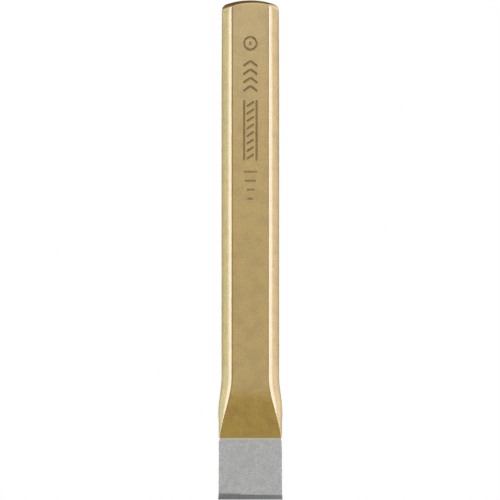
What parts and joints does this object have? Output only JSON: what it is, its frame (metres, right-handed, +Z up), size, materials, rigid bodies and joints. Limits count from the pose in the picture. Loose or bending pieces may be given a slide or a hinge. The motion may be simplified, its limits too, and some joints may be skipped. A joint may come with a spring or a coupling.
{
  "type": "cold chisel",
  "caption": "Flat cold chisel: crowned striking head, flat-oval lacquered shank, flared neck and a bare ground blade with a bevelled cutting edge.",
  "frame": {"origin": "on the bench, under the middle of the tool, which lies on its plain back face", "axes": "+Z up out of the stamped front face, +Y along the tool from the cutting edge to the striking head, +X across the width of the blade"},
  "size_m": [0.0194, 0.15, 0.011],
  "materials": {
    "tool_steel": "ground bare, fine mottled grain, vertical grinding lines on the bevels",
    "gold_lacquer": "semi-gloss metallic gold lacquer over forged steel"
  },
  "bodies": {
    "root": {"steel_forging": "tool_steel", "lacquer_coat": "gold_lacquer"}
  },
  "joints": []
}
